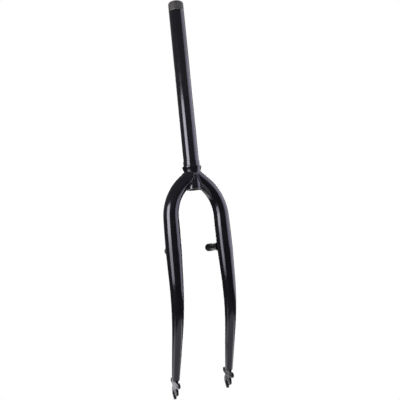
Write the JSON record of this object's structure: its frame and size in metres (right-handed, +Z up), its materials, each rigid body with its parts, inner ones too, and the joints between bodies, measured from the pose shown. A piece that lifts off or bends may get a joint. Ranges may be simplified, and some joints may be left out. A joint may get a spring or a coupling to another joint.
{
  "type": "mountain bike fork",
  "caption": "Rigid steel mountain bike fork: threaded steerer, bent tapered blades, brake studs with caps and slotted dropouts with eyelets",
  "frame": {"origin": "on the steerer's axis, on the shoulder that carries the lower headset race", "axes": "+Z up the steerer, +X forward, the way the blades are raked, +Y to the rider's left"},
  "size_m": [0.0771, 0.1288, 0.72],
  "materials": {
    "black_paint": "gloss black paint",
    "cap_rubber": "dull black moulded rubber"
  },
  "bodies": {
    "root": {"steerer_tube": "black_paint", "crown_race_collar": "black_paint", "left_blade": "black_paint", "left_dropout": "black_paint", "left_brake_stud": "black_paint", "left_stud_cap": "cap_rubber", "right_blade": "black_paint", "right_dropout": "black_paint", "right_brake_stud": "black_paint", "right_stud_cap": "cap_rubber"}
  },
  "joints": []
}
